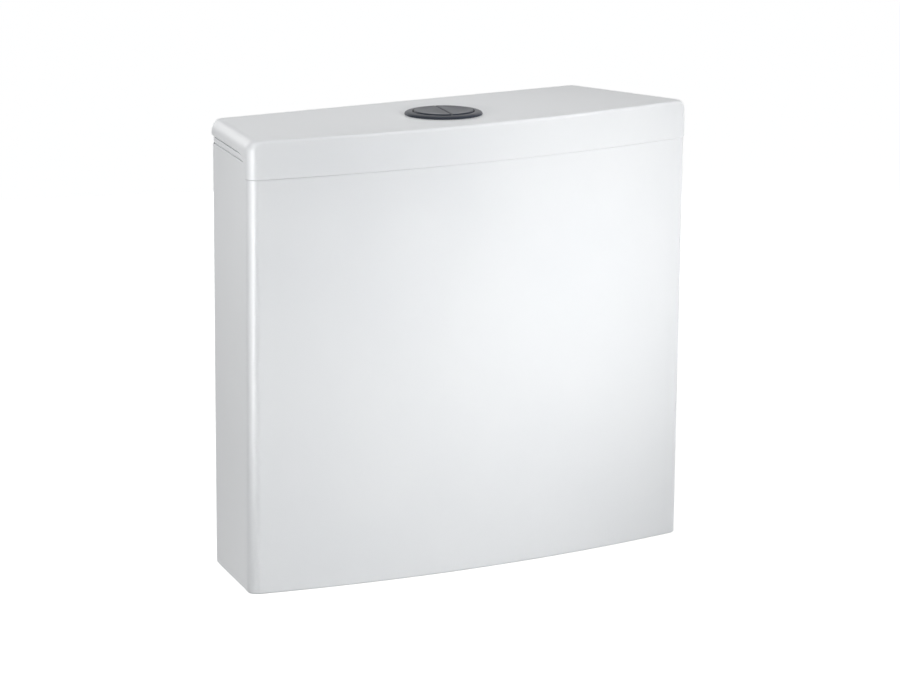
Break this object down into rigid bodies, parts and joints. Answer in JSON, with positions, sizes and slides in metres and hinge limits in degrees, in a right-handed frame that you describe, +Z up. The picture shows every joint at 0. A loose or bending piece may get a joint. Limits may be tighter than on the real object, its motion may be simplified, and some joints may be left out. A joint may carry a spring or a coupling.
{
  "type": "toilet cistern",
  "caption": "Wall-hung white plastic toilet cistern with a bowed front, lift-off lid, split dual-flush button, concentric-tube flush valve and bottom-entry fill valve.",
  "frame": {"origin": "on the wall plane, midway between the two wall fixing holes", "axes": "+Z up, +Y into the wall so the front faces -Y, +X to the right seen from the front"},
  "size_m": [0.425, 0.1421, 0.3789],
  "materials": {
    "casing": "gloss",
    "button": "satin",
    "dark_plastic": "satin",
    "white_plastic": "satin",
    "cage_plastic": "satin",
    "blue_plastic": "satin",
    "lever_plastic": "satin",
    "float_plastic": "satin",
    "mesh_plastic": "satin",
    "rubber": "matte",
    "steel": "brushed"
  },
  "bodies": {
    "tank": {"tank": "casing", "valve_base": "white_plastic", "outlet_seal": "rubber", "outlet_nut": "white_plastic", "valve_cage": "cage_plastic", "valve_head": "blue_plastic", "lever_pins": "steel", "fill_body": "white_plastic", "inlet_seal": "rubber", "inlet_nut": "white_plastic", "inlet_filter": "mesh_plastic", "fill_head": "blue_plastic", "diaphragm": "rubber", "fill_cap": "blue_plastic", "drop_tube": "white_plastic", "fill_pin": "steel", "inlet_plug": "white_plastic", "plug_seal": "rubber", "plug_nut": "white_plastic"},
    "lid": {"lid": "casing", "button_bezel": "button", "button_cage": "dark_plastic", "button_nut": "dark_plastic", "full_spring": "steel", "half_spring": "steel"},
    "full_button": {"full_button": "button", "full_rod": "white_plastic"},
    "half_button": {"half_button": "button", "half_rod": "white_plastic"},
    "full_lever": {"full_lever": "lever_plastic"},
    "half_lever": {"half_lever": "lever_plastic"},
    "full_tube": {"full_tube": "white_plastic", "full_seal": "rubber", "full_float": "float_plastic"},
    "overflow_tube": {"overflow_tube": "white_plastic", "lift_rod": "white_plastic", "half_seal": "rubber", "half_float": "float_plastic", "lift_bar": "lever_plastic"},
    "float": {"float_cup": "float_plastic", "float_link": "steel"},
    "fill_lever": {"fill_lever": "lever_plastic"}
  },
  "joints": [
    {"name": "lid_lift", "type": "slide", "parent": "tank", "child": "lid", "axis": [0, 0, 1], "range_m": [0, 0.12]},
    {"name": "full_press", "type": "slide", "parent": "lid", "child": "full_button", "axis": [0, 0, -1], "range_m": [0, 0.006], "stiffness_N_per_m": 200, "springref_m": -0.01, "deforming": ["full_spring"]},
    {"name": "half_press", "type": "slide", "parent": "lid", "child": "half_button", "axis": [0, 0, -1], "range_m": [0, 0.006], "stiffness_N_per_m": 200, "springref_m": -0.01, "deforming": ["half_spring"]},
    {"name": "full_rock", "type": "hinge", "parent": "tank", "child": "full_lever", "pos_m": [-0.0077, -0.06984, -0.023], "axis": [0.2706, 0.9627, 0], "range_deg": [0, 19]},
    {"name": "half_rock", "type": "hinge", "parent": "tank", "child": "half_lever", "pos_m": [0.0077, -0.07416, -0.023], "axis": [-0.2706, -0.9627, 0], "range_deg": [0, 19]},
    {"name": "full_lift", "type": "slide", "parent": "tank", "child": "full_tube", "axis": [0, 0, 1], "range_m": [0, 0.0055]},
    {"name": "half_lift", "type": "slide", "parent": "full_tube", "child": "overflow_tube", "axis": [0, 0, 1], "range_m": [0, 0.0055]},
    {"name": "float_rise", "type": "slide", "parent": "tank", "child": "float", "axis": [0, 0, 1], "range_m": [0, 0.018]},
    {"name": "float_rock", "type": "hinge", "parent": "tank", "child": "fill_lever", "pos_m": [0.11498, -0.072, -0.06], "axis": [0, -1, 0], "range_deg": [0, 25]}
  ],
  "couplings": [
    {"joint": "full_rock", "follows": "full_press", "rad_per_m": 55},
    {"joint": "full_lift", "follows": "full_press", "ratio": 0.86},
    {"joint": "half_rock", "follows": "half_press", "rad_per_m": 55},
    {"joint": "half_lift", "follows": "half_press", "ratio": 0.86},
    {"joint": "float_rock", "follows": "float_rise", "rad_per_m": 23.99}
  ]
}
